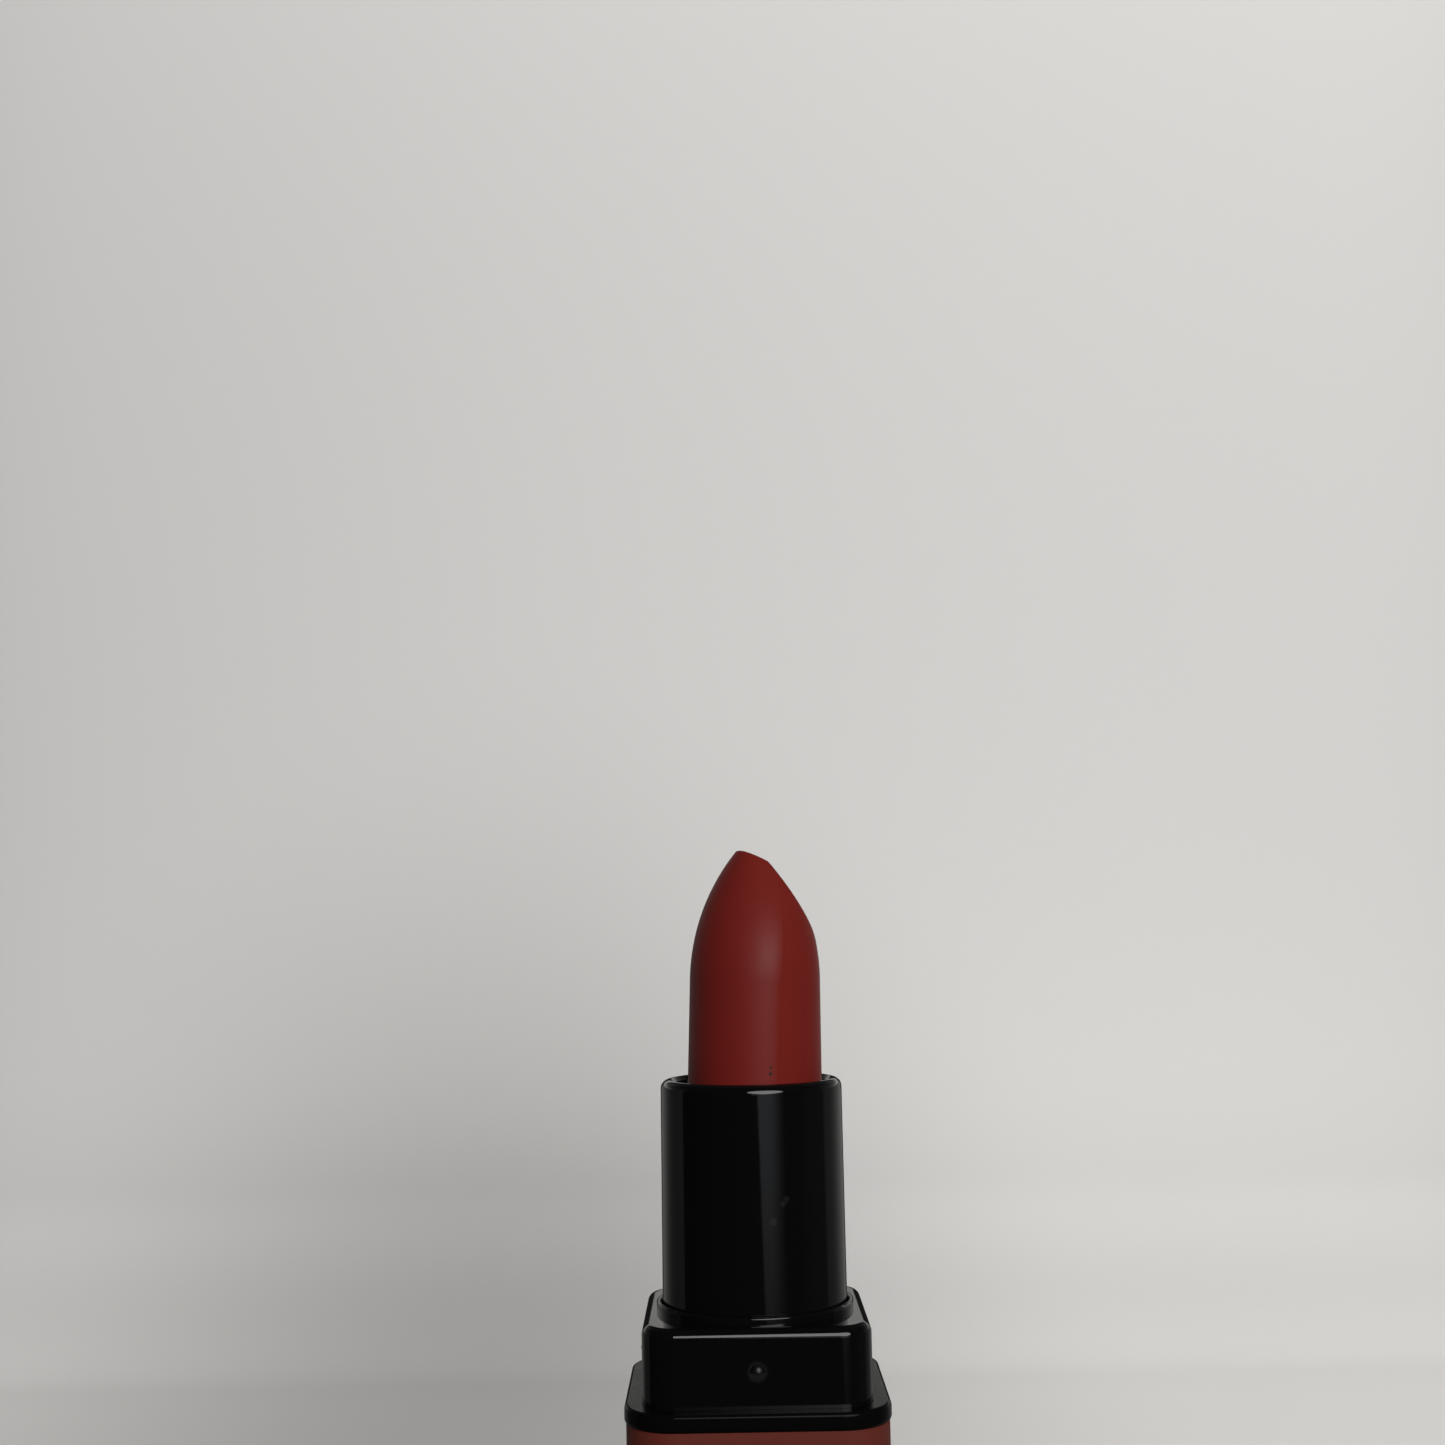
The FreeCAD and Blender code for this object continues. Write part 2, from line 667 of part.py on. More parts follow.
def make_guide_tube(doc, s):
    """Slotted tube that keeps the cup from turning, on a splined foot that the base grips."""
    body = new_body(doc, "guide_tube")
    wall = new_sketch(body, "GuideWall", "XZ_Plane")
    brake_low = s.thrust_top + (s.brake_zone - s.guide_floor - s.brake_height) / 2
    brake_high = brake_low + s.brake_height
    hollow_r = s.foot_r - s.foot_wall
    floor_bottom = s.guide_floor_top - s.guide_floor
    draw_outline(
        wall,
        [
            (hollow_r, s.foot_bottom),
            (s.foot_r, s.foot_bottom),
            (s.foot_r, s.deck_top),
            (s.sleeve_r, s.deck_top),
            (s.sleeve_r, s.thrust_top),
            (s.guide_r, s.thrust_top),
            (s.guide_r, brake_low),
            (s.guide_r - s.brake_depth, brake_low),
            (s.guide_r - s.brake_depth, brake_high),
            (s.guide_r, brake_high),
            (s.guide_r, s.guide_top - s.bead_height),
            (s.guide_r + s.bead_proud, s.guide_top - s.bead_height),
            (s.guide_r, s.guide_top),
            (s.guide_bore_r, s.guide_top),
            (s.guide_bore_r, s.guide_floor_top),
            (0, s.guide_floor_top),
            (0, floor_bottom),
            (hollow_r, floor_bottom),
        ],
    )
    revolve(body, wall)

    slot = new_sketch(body, "GuideSlot", "YZ_Plane")
    draw_slot(slot, s.lug_diameter / 2 + s.lug_clearance, s.lug_low, s.lug_high)
    pocket_both_ways(body, slot)

    spline = new_sketch(body, "GuideSpline", "XY_Plane", lift=s.foot_bottom)
    half = s.spline_width / 2
    draw_rectangle(spline, s.foot_r - s.spline_height, s.foot_r + s.spline_height * 0.9, -half, half)
    repeat(body, pad(body, spline, s.foot_length), SPLINE_COUNT)
    return body


def make_brake_ring(doc, s):
    """Rubber ring in the guide tube's seat that drags on the cam, shown pressed flat."""
    body = new_body(doc, "brake_ring")
    section = new_sketch(body, "BrakeSection", "XZ_Plane")
    inner = s.guide_r - s.brake_depth + s.push_clearance
    outer = s.cam_bore_r - s.brake_clearance
    seat_low = s.thrust_top + (s.brake_zone - s.guide_floor - s.brake_height) / 2
    low = seat_low + s.run_clearance
    high = seat_low + s.brake_height - s.run_clearance
    draw_rectangle(section, inner, outer, low, high)
    revolve(body, section)
    return body


def make_bullet_cup(doc, s):
    """Cup that carries the bullet, with grip ribs inside and two lugs outside."""
    body = new_body(doc, "bullet_cup")
    wall = new_sketch(body, "CupWall", "XZ_Plane")
    vent_r = s.vent_diameter / 2
    floor_top = s.cup_bottom + s.cup_floor
    draw_outline(
        wall,
        [
            (vent_r, s.cup_bottom),
            (s.cup_r, s.cup_bottom),
            (s.cup_r, s.cup_top),
            (s.cup_bore_r, s.cup_top),
            (s.cup_bore_r, floor_top),
            (vent_r, floor_top),
        ],
    )
    revolve(body, wall)

    lug = new_sketch(body, "CupLug", "YZ_Plane", lift=s.cup_bore_r + s.cup_wall / 4)
    draw_circle(lug, s.lug_diameter / 2, s.lug_high)
    repeat(body, pad(body, lug, s.lug_reach - s.cup_bore_r - s.cup_wall / 4), LUG_COUNT)

    grip = new_sketch(body, "CupGrip", "XY_Plane", lift=floor_top)
    half = s.grip_width / 2
    draw_rectangle(grip, s.cup_bore_r - s.grip_height, s.cup_r - s.cup_wall / 2, -half, half)
    repeat(body, pad(body, grip, s.grip_length), GRIP_COUNT)
    return body


# The bullet and the weight


def make_bullet(doc, s):
    """Wax bullet: slightly tapered side, round pointed nose cut by a slanted face."""
    body = new_body(doc, "bullet")
    side = new_sketch(body, "BulletSide", "XZ_Plane")
    bottom = s.cup_bottom + s.cup_floor
    nose_r = s.bullet_r - s.nose_taper
    curve = (nose_r * nose_r + s.nose_length * s.nose_length) / (nose_r * 2)
    half_way = s.nose_length / 2
    bulge = root(curve * curve - half_way * half_way) - curve + nose_r
    tip = s.nose_start + s.nose_length
    draw_outline(
        side,
        [
            (0, bottom),
            (s.bullet_r, bottom),
            (s.bullet_r, s.cup_top),
            (nose_r, s.nose_start),
            ((0, tip), (bulge, s.nose_start + half_way), curve),
        ],
    )
    revolve(body, side)

    slant = new_sketch(body, "BulletSlant", "XZ_Plane", turn=s.slant_heading)
    low = s.nose_start + s.slant_rise
    run = nose_r * 2
    climb = run / tangent(s.slant_angle)
    draw_outline(
        slant,
        [
            (nose_r * 2, low - climb / 2),
            (nose_r * 2, low + climb * 1.5),
            (-nose_r * 2, low + climb * 1.5),
        ],
    )
    cut = pocket_both_ways(body, slant)
    fillet(body, cut, "SlantEdge", slanted_edges(cut, s), s.slant_edge)

    notch = new_sketch(body, "BulletNotch", "XY_Plane", lift=bottom)
    half = s.grip_width / 2 + s.push_clearance
    inner = s.cup_bore_r - s.grip_height - s.push_clearance
    draw_rectangle(notch, inner, s.bullet_r * 1.1, -half, half)
    cut = pocket(body, notch, s.grip_length + s.push_clearance, upward=True)
    repeat(body, cut, GRIP_COUNT)
    return body


def make_base_weight(doc, s):
    """Steel block on the base's floor."""
    body = new_body(doc, "base_weight")
    plan = new_sketch(body, "WeightPlan", "XY_Plane", lift=s.base_floor)
    width = s.hollow_width - s.weight_clearance * 2
    corner = s.hollow_corner - s.weight_clearance
    draw_rounded_square(plan, width, corner)
    block = pad(body, plan, s.weight_height)
    edges = level_edges(block, s.weight_top, (as_size(0), width))
    chamfer = body.newObject("PartDesign::Chamfer", "WeightEdge")
    chamfer.Base = (block, edges)
    chamfer.setExpression("Size", s.weight_chamfer.text)
    return body


MAKERS = (
    make_base_shell,
    make_base_weight,
    make_base_liner,
    make_collar,
    make_guide_tube,
    make_brake_ring,
    make_spiral_cam,
    make_sleeve,
    make_bullet_cup,
    make_bullet,
)


def check(doc, bodies):
    """Stops if a feature failed, or a piece isn't one valid solid."""
    for item in doc.Objects:
        if {"Invalid", "Error"} & set(item.State):
            raise RuntimeError(f"{item.Name} failed: {item.State}")
    for body in bodies:
        shape = body.Shape
        if shape.isNull() or not shape.isValid() or len(shape.Solids) != 1:
            raise RuntimeError(f"{body.Label} isn't one valid solid")


def main():
    doc = FreeCAD.newDocument("LipstickCase")
    make_sheet(doc)
    sizes = Sizes()
    bodies = [make(doc, sizes) for make in MAKERS]
    doc.recompute()
    check(doc, bodies)
    os.makedirs("parts", exist_ok=True)
    for body in bodies:
        body.Shape.exportStep(f"parts/{body.Label}.step")
        box = body.Shape.BoundBox
        print(f"{body.Label}: volume {body.Shape.Volume:.1f}, z {box.ZMin:.2f} to {box.ZMax:.2f}")


main()
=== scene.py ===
"""Looks of the twist-up lipstick: a satin wax bullet in a gloss black mechanism on a matt red base."""

import json
import math
from collections import namedtuple
from functools import reduce

import bmesh
import bpy
from mathutils import Matrix, Vector


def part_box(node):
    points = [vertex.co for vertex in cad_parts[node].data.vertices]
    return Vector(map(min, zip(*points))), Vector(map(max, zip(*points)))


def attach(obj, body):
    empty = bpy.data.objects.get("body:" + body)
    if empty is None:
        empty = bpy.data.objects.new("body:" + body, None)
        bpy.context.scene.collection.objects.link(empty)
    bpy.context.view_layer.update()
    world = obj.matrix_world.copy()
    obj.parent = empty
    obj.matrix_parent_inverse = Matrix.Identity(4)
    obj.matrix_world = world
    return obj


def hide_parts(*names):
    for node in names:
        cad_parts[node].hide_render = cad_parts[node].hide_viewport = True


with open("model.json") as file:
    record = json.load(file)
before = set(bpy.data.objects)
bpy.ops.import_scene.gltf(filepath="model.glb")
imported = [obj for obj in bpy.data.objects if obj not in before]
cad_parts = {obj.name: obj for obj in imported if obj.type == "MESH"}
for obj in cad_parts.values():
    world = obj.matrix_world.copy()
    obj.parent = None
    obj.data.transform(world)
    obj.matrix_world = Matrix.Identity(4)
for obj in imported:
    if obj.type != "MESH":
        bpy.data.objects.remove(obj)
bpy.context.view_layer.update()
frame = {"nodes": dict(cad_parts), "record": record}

MM = 0.001
scene = bpy.context.scene


def lowest(node):
    """Lowest corner of a CAD node at rest, in mm."""
    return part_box(node)[0] / MM


def highest(node):
    """Highest corner of a CAD node at rest, in mm."""
    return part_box(node)[1] / MM


# Places on the CAD pieces, in mm
MOUTH = highest("sleeve").z
SLEEVE_RADIUS = highest("sleeve").x
FLANGE_TOP = highest("base_liner").z
NUB_FACE = lowest("collar").y
FOOT = lowest("bullet").z
RADIUS = highest("bullet").x


# Shared helpers


def smooth(t):
    """Smoothstep of t held to 0..1."""
    t = min(1.0, max(0.0, t))
    return t * t * (3 - 2 * t)


def soft_min(a, b, width):
    """The smaller of two lengths, blended over a width."""
    h = max(width - abs(a - b), 0.0) / width
    return min(a, b) - h * h * width / 4


def new_object(name, data):
    """An object of a mesh, a light or a camera, linked to the scene."""
    obj = bpy.data.objects.new(name, data)
    scene.collection.objects.link(obj)
    return obj


def smooth_mesh(name, bm):
    """A smooth-shaded mesh from a bmesh, which is freed."""
    for face in bm.faces:
        face.smooth = True
    mesh = bpy.data.meshes.new(name)
    bm.to_mesh(mesh)
    bm.free()
    return mesh


def ring_mesh(name, rings):
    """A closed mesh of rings of points, each joined to the next, with a fan at either end."""
    bm = bmesh.new()
    rings = [[bm.verts.new(point) for point in ring] for ring in rings]
    for low, high in zip(rings, rings[1:]):
        for i in range(len(low)):
            bm.faces.new((low[i - 1], low[i], high[i], high[i - 1]))
    # The bottom fan faces down, so its ring is taken the other way round
    for ring in (rings[0][::-1], rings[-1]):
        middle = bm.verts.new(sum((v.co for v in ring), Vector()) / len(ring))
        for i in range(len(ring)):
            bm.faces.new((middle, ring[i - 1], ring[i]))
    return smooth_mesh(name, bm)


Signal = namedtuple("Signal", "node output")  # one output of a node
# Sockets of a Mix node that mixes colours
MIX_FACTOR, MIX_FIRST, MIX_SECOND, MIX_RESULT = 0, 6, 7, 2


class Nodes:
    """Short calls for building the node tree of a material or a world."""

    def __init__(self, owner, output, shader):
        self.owner = owner
        owner.use_nodes = True
        self.tree = owner.node_tree
        self.tree.nodes.clear()
        self.shader = self.add(shader)
        self.feed(self.add(output), "Surface", Signal(self.shader, 0))
        self.place = self.add("ShaderNodeTexCoord")

    def add(self, kind, **settings):
        node = self.tree.nodes.new(kind)
        for key, value in settings.items():
            setattr(node, key, value)
        return node

    def feed(self, node, socket, value):
        """Links an input to a signal, or sets it to a plain value."""
        if isinstance(value, Signal):
            self.tree.links.new(value.node.outputs[value.output], node.inputs[socket])
        else:
            node.inputs[socket].default_value = value

    def set(self, **values):
        """Feeds the shader's own sockets, with _ for a space."""
        for key, value in values.items():
            self.feed(self.shader, key.replace("_", " "), value)

    def axes(self, space):
        """The three coordinates of a space, such as Object."""
        node = self.add("ShaderNodeSeparateXYZ")
        self.feed(node, "Vector", Signal(self.place, space))
        return [Signal(node, axis) for axis in "XYZ"]

    def noise(self, scale, detail=3.0, roughness=0.5, stretch=(1, 1, 1)):
        """Noise in the object's own space, in metres."""
        mapping = self.add("ShaderNodeMapping")
        self.feed(mapping, "Scale", stretch)
        self.feed(mapping, "Vector", Signal(self.place, "Object"))
        node = self.add("ShaderNodeTexNoise")
        self.feed(node, "Scale", scale)
        self.feed(node, "Detail", detail)
        self.feed(node, "Roughness", roughness)
        self.feed(node, "Vector", Signal(mapping, "Vector"))
        return Signal(node, "Fac")

    def spread(self, signal, low, high, to_low, to_high, shape="LINEAR"):
        """Maps a range to another, clamped."""
        node = self.add("ShaderNodeMapRange", interpolation_type=shape)
        self.feed(node, "Value", signal)
        self.feed(node, "From Min", low)
        self.feed(node, "From Max", high)
        self.feed(node, "To Min", to_low)
        self.feed(node, "To Max", to_high)
        return Signal(node, "Result")

    def ease(self, signal, low, high, to_low, to_high):
        """Maps a range to another, with a smooth start and end."""
        return self.spread(signal, low, high, to_low, to_high, "SMOOTHSTEP")

    def math(self, operation, *terms):
        """Arithmetic on signals and numbers."""
        node = self.add("ShaderNodeMath", operation=operation)
        for socket, term in enumerate(terms):
            self.feed(node, socket, term)
        return Signal(node, 0)

    def total(self, *terms):
        return reduce(lambda a, b: self.math("ADD", a, b), terms)

    def product(self, *terms):
        return reduce(lambda a, b: self.math("MULTIPLY", a, b), terms)

    def near(self, place, reach, soft=0.5):
        """One near a place and none beyond its reach, both in mm. The fade starts at the share soft."""
        apart = self.add("ShaderNodeVectorMath", operation="DISTANCE")
        self.feed(apart, 0, Signal(self.place, "Object"))
        self.feed(apart, 1, [value * MM for value in place])
        return self.ease(Signal(apart, "Value"), reach * soft * MM, reach * MM, 1.0, 0.0)

    def mix(self, factor, first, second):
        """A colour between a first one, plain or a signal, and a plain second one."""
        node = self.add("ShaderNodeMix", data_type="RGBA")
        self.feed(node, MIX_FACTOR, factor)
        self.feed(node, MIX_FIRST, first if isinstance(first, Signal) else (*first, 1))
        self.feed(node, MIX_SECOND, (*second, 1))
        return Signal(node, MIX_RESULT)

    def bump(self, height, strength, distance):
        """A surface normal that follows a height, with the distance in mm."""
        node = self.add("ShaderNodeBump")
        self.feed(node, "Height", height)
        self.feed(node, "Strength", strength)
        self.feed(node, "Distance", distance * MM)
        return Signal(node, "Normal")


# Materials

BLACK = (0.0028, 0.0028, 0.0031)


def on_sleeve(across, below):
    """Point on the front of the sleeve, in mm to the right of its axis and below its mouth."""
    return (across, -math.sqrt(SLEEVE_RADIUS**2 - across**2), MOUTH - below)


# Dull places on the gloss, the front nub and a scuff on the sleeve: place, reach and added roughness
NUB_HEIGHT = 3.05  # above the flange
SCUFFS = (
    ((0.0, NUB_FACE, FLANGE_TOP + NUB_HEIGHT), 1.2, 0.3),
    (on_sleeve(1.6, 11.55), 0.45, 0.3),
)
DUST, DUST_REACH = (on_sleeve(2.5, 10.05), on_sleeve(2.8, 9.7)), 0.42  # a pale streak

# Dark specks on the wax, by the parting line: place and reach
SPECKS = (
    ((1.65, -5.93, MOUTH + 0.8), 0.2),
    ((1.68, -5.92, MOUTH + 1.35), 0.15),
    ((1.35, -5.97, MOUTH + 8.95), 0.16),
)
SHEEN = "band"  # attribute of the bullet that holds each point's share of the sheen


def principled(name):
    return Nodes(bpy.data.materials.new(name), "ShaderNodeOutputMaterial", "ShaderNodeBsdfPrincipled")


def gloss_black():
    """Injection-moulded gloss black, with faint hairline scuffs and a touch of dust."""
    n = principled("gloss_black")
    swirl = n.noise(900, 4, 0.6, stretch=(1, 1, 0.35))
    rough = n.spread(swirl, 0.35, 0.8, 0.045, 0.11)
    for place, reach, added in SCUFFS:
        rough = n.total(rough, n.product(n.near(place, reach, soft=0.6), added))
    streak = n.math("MAXIMUM", *(n.near(place, DUST_REACH, soft=0.2) for place in DUST))
    n.set(
        Base_Color=n.mix(streak, BLACK, (0.011, 0.011, 0.011)),
        IOR=1.36,
        Roughness=rough,
        Normal=n.bump(n.noise(120, 2), 0.05, 0.12),
    )
    return n.owner


def satin_black():
    """The same black, duller, on the moulding that fills the base."""
    n = principled("satin_black")
    grain = n.noise(2200, 3, 0.6)
    n.set(
        Base_Color=(*BLACK, 1),
        IOR=1.13,
        Roughness=n.spread(grain, 0.3, 0.75, 0.12, 0.2),
        Normal=n.bump(grain, 0.08, 0.03),
    )
    return n.owner


def inner_black():
    """Dull black moulding inside the mechanism."""
    n = principled("inner_black")
    grain = n.noise(4000, 3, 0.6)
    n.set(
        Base_Color=n.mix(grain, (0.006, 0.006, 0.0065), (0.014, 0.014, 0.015)),
        IOR=1.5,
        Roughness=n.spread(grain, 0.3, 0.7, 0.38, 0.55),
        Normal=n.bump(grain, 0.15, 0.04),
    )
    return n.owner


def matt_red():
    """Soft-touch brick red lacquer of the base, with a fine orange peel."""
    n = principled("matt_red")
    cloud = n.noise(160, 3, 0.55)
    peel = n.noise(5200, 3, 0.6)
    n.set(
        Base_Color=n.mix(cloud, (0.11, 0.0205, 0.0135), (0.124, 0.0235, 0.0157)),
        IOR=1.25,
        Roughness=n.spread(peel, 0.3, 0.7, 0.5, 0.62),
        Normal=n.bump(peel, 0.2, 0.03),
    )
    return n.owner


def plain_steel():
    """Steel weight, sealed inside the base."""
    n = principled("plain_steel")
    grain = n.noise(2500, 3, 0.6, stretch=(1, 1, 12))
    n.set(
        Base_Color=n.mix(grain, (0.42, 0.42, 0.43), (0.58, 0.58, 0.59)),
        Metallic=1.0,
        Roughness=n.spread(grain, 0.3, 0.7, 0.28, 0.45),
    )
    return n.owner


def ring_rubber():
    """Silicone brake ring, sealed inside."""
    n = principled("ring_rubber")
    grain = n.noise(3000, 2, 0.5)
    n.set(
        Base_Color=n.mix(grain, (0.018, 0.018, 0.018), (0.03, 0.03, 0.03)),
        Roughness=n.spread(grain, 0.3, 0.7, 0.6, 0.75),
    )
    return n.owner


def wax():
    """Satin lipstick wax: a sheen up to the parting line, faint clouds, fine drag lines and specks."""
    n = principled("bullet_wax")
    cloud = n.noise(260, 4, 0.55, stretch=(1, 1, 0.4))
    tone = n.mix(cloud, (0.156, 0.0092, 0.0056), (0.172, 0.0108, 0.0068))
    for place, reach in SPECKS:
        tone = n.mix(n.near(place, reach), tone, (0.02, 0.006, 0.005))
    sheen = Signal(n.add("ShaderNodeAttribute", attribute_name=SHEEN), "Fac")
    dull = n.spread(sheen, 0.0, 1.0, 0.8, 0.34)
    drag = n.noise(1500, 4, 0.6, stretch=(1, 1, 0.08))
    n.set(
        Base_Color=tone,
        IOR=1.27,
        Roughness=n.total(dull, n.spread(cloud, 0.35, 0.7, -0.03, 0.03)),
        Sheen_Weight=0.12,
        Sheen_Roughness=0.35,
        Subsurface_Weight=0.1,
        Subsurface_Radius=(0.0012, 0.0004, 0.0003),
        Subsurface_Scale=0.4,
        Normal=n.bump(drag, 0.06, 0.03),
    )
    return n.owner


# By slot, or by node where a node has its own
MATERIALS = {
    "black_gloss": gloss_black(),
    "base_liner": satin_black(),
    "inner_plastic": inner_black(),
    "base_matte": matt_red(),
    "weight_steel": plain_steel(),
    "ring_rubber": ring_rubber(),
    "bullet_wax": wax(),
}


def dress_nodes():
    """Gives each CAD node its own material, or else its slot's."""
    for part in frame["record"]["subparts"]:
        node, slot = part["node"], part["material_slot"]
        surface = frame["nodes"][node].data.materials
        surface.clear()
        surface.append(MATERIALS.get(node) or MATERIALS[slot])


# The bullet, in mm

NOSE = 8.57  # its nose starts this far above the mouth
SHOULDER = 5.92  # radius where the nose starts
NOSE_LENGTH = 13.77  # of the pointed arch, before the flats are cut
# Flats of the nose: degrees up, degrees round to the back, and distance from the nose's centre
FLATS = ((35.0, 18.8, 6.61), (61.4, 23.0, 9.71))
FLAT_EDGE = 0.12  # how far the flats' edges are softened
FOOT_INSET, FOOT_RISE = 0.25, 0.3  # rounding at the foot

LEAN, SHIFT = math.radians(1.15), 0.36  # the bullet was set a little askew
UPRIGHT = 3.0  # it turns from upright to askew over this length below the mouth

# The parting line's place to the right of the axis, at the mouth and from SEAM_CLIMB above it
SEAM_AT_MOUTH, SEAM_ABOVE, SEAM_CLIMB = 1.88, 2.40, 12.0
SEAM_END, SEAM_FADE = MOUTH + 17.75, 3.0  # height where it ends, and the length of its fading
SEAM_PROUD = 0.03
# Beside the line, in radians: the swell on its left, and the step and the hollow on its right
SWELL, STEP, HOLLOW = 0.35, 0.03, 0.05
HOLLOW_SHARE = 0.4  # depth of the hollow, as a share of SEAM_PROUD
SHEEN_WIDE = 1.1  # radians to the left of the line
SHEEN_END, SHEEN_FADE = SEAM_END + 0.6, 9.0


def seam_turn(z, radius):
    """Direction of the parting line, which keeps its place across the front as the nose narrows."""
    across = SEAM_AT_MOUTH + (SEAM_ABOVE - SEAM_AT_MOUTH) * smooth((z - MOUTH) / SEAM_CLIMB)
    most = 0.93  # of the radius, which keeps the line on the front at the tip
    return -math.pi / 2 + math.asin(min(most, across / max(radius, 0.01)))


def seam_step(off, z):
    """Radial offset at a turn off the parting line: swells up to it from the left, then drops."""
    proud = SEAM_PROUD * smooth((SEAM_END - z) / SEAM_FADE)
    if off < 0:
        return proud * smooth(1 + off / SWELL)
    hollow = HOLLOW_SHARE * proud * (1 - smooth(abs(off - HOLLOW) / HOLLOW))
    return proud * (1 - smooth(off / STEP)) - hollow


def sheen_share(off, z):
    """How much of the sheen shows: it grows up to the parting line, stops there, and fades upwards."""
    if off >= 0:
        return 0.0
    return smooth(1 + off / SHEEN_WIDE) * smooth((SHEEN_END - z) / SHEEN_FADE)


def nose_reach(ray):
    """Distance from the nose's centre to its surface: a pointed arch with two flats cut into it."""
    bend = (NOSE_LENGTH**2 + SHOULDER**2) / (2 * SHOULDER)
    inset = bend - SHOULDER
    level = math.hypot(ray.x, ray.y)
    reach = -inset * level + math.sqrt((inset * level) ** 2 + bend**2 - inset**2)
    for up, back, distance in FLATS:
        up, back = math.radians(up), math.radians(back)
        facing = ray.dot((math.cos(back) * math.cos(up), math.sin(back) * math.cos(up), math.sin(up)))
        if facing > 0.05:
            reach = soft_min(reach, distance / facing, FLAT_EDGE)
    return reach


def shaft_radius(z):
    """Radius below the nose: straight up to the mouth, slightly tapered above, rounded at the foot."""
    taper = (RADIUS - SHOULDER) * max(0.0, z - MOUTH) / NOSE
    return RADIUS - taper - FOOT_INSET * smooth(1 - (z - FOOT) / FOOT_RISE) ** 2


def bullet_ring(row, rows_shaft, rows_nose, columns):
    """One ring of the upright bullet, as pairs of a point and its share of the sheen."""
    nose_start = MOUTH + NOSE
    on_nose = row > rows_shaft
    if on_nose:
        rise = math.pi / 2 * (row - rows_shaft) / rows_nose
        front = nose_reach(Vector((0, -math.cos(rise), math.sin(rise))))
        z, radius = nose_start + front * math.sin(rise), front * math.cos(rise)
    else:
        z = FOOT + (nose_start - FOOT) * row / rows_shaft
        radius = shaft_radius(z)
    start = seam_turn(z, radius)
    ring = []
    for i in range(columns):
        # The first column lies a hair to the right of the line, so that none lies on the step
        off = (2 * math.pi * i / columns + 0.001 + math.pi) % (2 * math.pi) - math.pi
        across = Vector((math.cos(start + off), math.sin(start + off), 0))
        step = seam_step(off, z)
        if on_nose:
            ray = across * math.cos(rise) + Vector((0, 0, math.sin(rise)))
            point = ray * (nose_reach(ray) + step * math.cos(rise)) + Vector((0, 0, nose_start))
        else:
            point = across * (radius + step) + Vector((0, 0, z))
        ring.append((point, sheen_share(off, z)))
    return ring


def set_askew(point):
    """A point of the upright bullet, leant and shifted to the right from the mouth up."""
    pivot = Vector((0, 0, MOUTH))
    leant = Matrix.Rotation(LEAN, 3, "Y") @ (point - pivot) + pivot + Vector((SHIFT, 0, 0))
    return point.lerp(leant, smooth((point.z - MOUTH + UPRIGHT) / UPRIGHT))


def make_bullet():
    """Wax bullet with its slanted tip, a parting line, and the slight lean that it was set with."""
    columns = 360
    rows_shaft, rows_nose = ((60, 130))
    rings = [bullet_ring(row, rows_shaft, rows_nose, columns) for row in range(rows_shaft + rows_nose)]
    mesh = ring_mesh("bullet_wax", [[set_askew(point) * MM for point, _ in ring] for ring in rings])
    band = mesh.attributes.new(SHEEN, "FLOAT", "POINT")
    for index, share in enumerate(share for ring in rings for _, share in ring):
        band.data[index].value = share
    obj = new_object("bullet_wax", mesh)
    obj.data.materials.append(MATERIALS["bullet_wax"])
    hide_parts("bullet")
    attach(obj, "carriage")


# Stage, in metres

WALL, WALL_TOP, WALL_HALF = 0.19, 0.9, 0.7  # how far behind the axis, height, and half its width
FLOOR_FRONT, FLOOR_HALF = -0.03, 0.145
FLOOR_DROP = 0.00002  # keeps the floor clear of the base's bottom
SWEEP, SWEEP_STEPS = 0.03, 24  # radius of the curve from floor to wall

# Painted shading of the backdrop, which stands in for how the light falls off across it: each a range
# and then the shares of the paint's tone at its two ends
SIDE_FADE = (0.12, 0.36, 1.0, 0.25)
LEFT_TO_RIGHT = (-0.25, 0.25, 0.92, 1.01)
UPWARDS = (-0.05, 0.26, 1.0, 0.90)
FLOOR_TO_WALL = (-0.012, 0.055, 0.80, 1.0)
DIP, DIP_HEIGHT = (0.0, 0.022, 0.87, 1.0), 0.008  # where the sweep would catch too much light
PAINTED_SHADOW, PAINTED_SHADOW_X, PAINTED_SHADOW_HEIGHT = (0.0, 1.0, 0.59, 1.0), -0.042, -0.03  # painted shadow of the part on the backdrop, at the lower left
PAINTED_SHADOW_WIDE, PAINTED_SHADOW_TALL = 0.115, 0.165
FLOOR_SLOPE = 0.28  # how much the height of the shades falls along the floor


